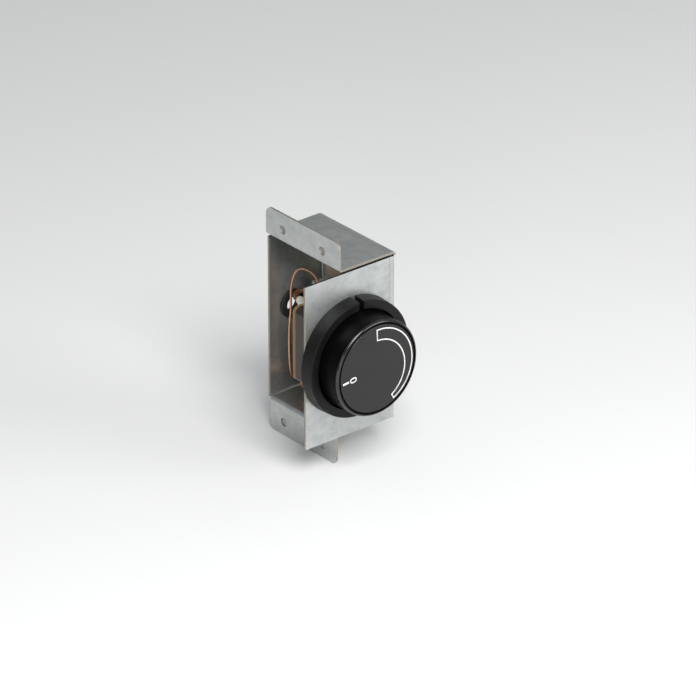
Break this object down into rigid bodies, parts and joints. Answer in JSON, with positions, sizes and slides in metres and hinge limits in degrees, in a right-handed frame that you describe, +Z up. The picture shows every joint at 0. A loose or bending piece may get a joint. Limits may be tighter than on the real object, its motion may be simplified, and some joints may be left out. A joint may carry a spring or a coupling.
{
  "type": "wall thermostat",
  "caption": "Turn-knob thermostat in a fixed collar on a folded galvanised box with screw ears, for the back of a panel heater.",
  "frame": {"origin": "centre of the ears' four fixing holes, on the face that meets the panel", "axes": "+X from the panel towards the wall, +Z up, knob facing -Y"},
  "size_m": [0.062, 0.0779, 0.1206],
  "materials": {
    "galvanised_steel": "matt zinc",
    "black_plastic": "satin moulded",
    "dark_face": "fine satin",
    "white_print": "printed ink",
    "zinc_steel": "zinc plated",
    "spring_steel": "oiled",
    "brass": "dull",
    "contact_silver": "satin",
    "phenolic": "moulded",
    "laminate_board": "pressed laminate",
    "copper": "dull copper",
    "clear_sleeve": "soft nylon",
    "brown_insulation": "satin",
    "black_insulation": "satin",
    "white_plastic": "moulded nylon",
    "liner_sheet": "pressed fibre",
    "black_card": "pressed fibre",
    "rubber": "matt"
  },
  "bodies": {
    "housing": {"housing": "galvanised_steel", "knob_collar": "black_plastic", "fixing_screws": "zinc_steel", "thermostat_yoke": "zinc_steel", "shaft_bush": "brass", "thermostat_base": "phenolic", "terminal_board": "laminate_board", "board_rivets": "brass", "terminal_blades": "brass", "fixed_contact": "contact_silver", "diaphragm_capsule": "zinc_steel", "capillary_tube": "copper", "sensing_bulb": "copper", "bulb_clip": "zinc_steel", "clip_rivet": "zinc_steel", "lever_pin": "zinc_steel", "lead_receptacles": "clear_sleeve", "line_lead": "brown_insulation", "load_lead": "black_insulation", "terminal_block": "white_plastic", "terminal_tubes": "brass", "terminal_screws": "zinc_steel", "block_screws": "zinc_steel", "insulating_liner": "liner_sheet", "slot_card": "black_card", "earth_screw": "zinc_steel", "earth_washer": "zinc_steel", "cable_grommet": "rubber"},
    "knob": {"knob_body": "black_plastic", "knob_face": "dark_face", "scale_print": "white_print", "grip_spring": "spring_steel", "control_shaft": "zinc_steel", "stop_disc": "spring_steel", "shaft_clip": "spring_steel"},
    "nut": {"setting_nut": "brass", "range_spring": "spring_steel"},
    "lever": {"contact_lever": "brass", "moving_contact": "contact_silver"}
  },
  "joints": [
    {"name": "knob_turn", "type": "hinge", "parent": "housing", "child": "knob", "pos_m": [0.0072, -0.0482, 0], "axis": [0, 1, 0], "range_deg": [-262.5, 3]},
    {"name": "nut_travel", "type": "slide", "parent": "housing", "child": "nut", "axis": [0, 1, 0], "range_m": [-0.00073, 0.00001]},
    {"name": "lever_tilt", "type": "hinge", "parent": "housing", "child": "lever", "pos_m": [0.0072, -0.00795, 0.014], "axis": [-1, 0, 0], "range_deg": [0, 2.5], "stiffness_Nm_per_rad": 0.02}
  ],
  "couplings": [
    {"joint": "nut_travel", "follows": "knob_turn", "m_per_rad": 0.00015915}
  ]
}
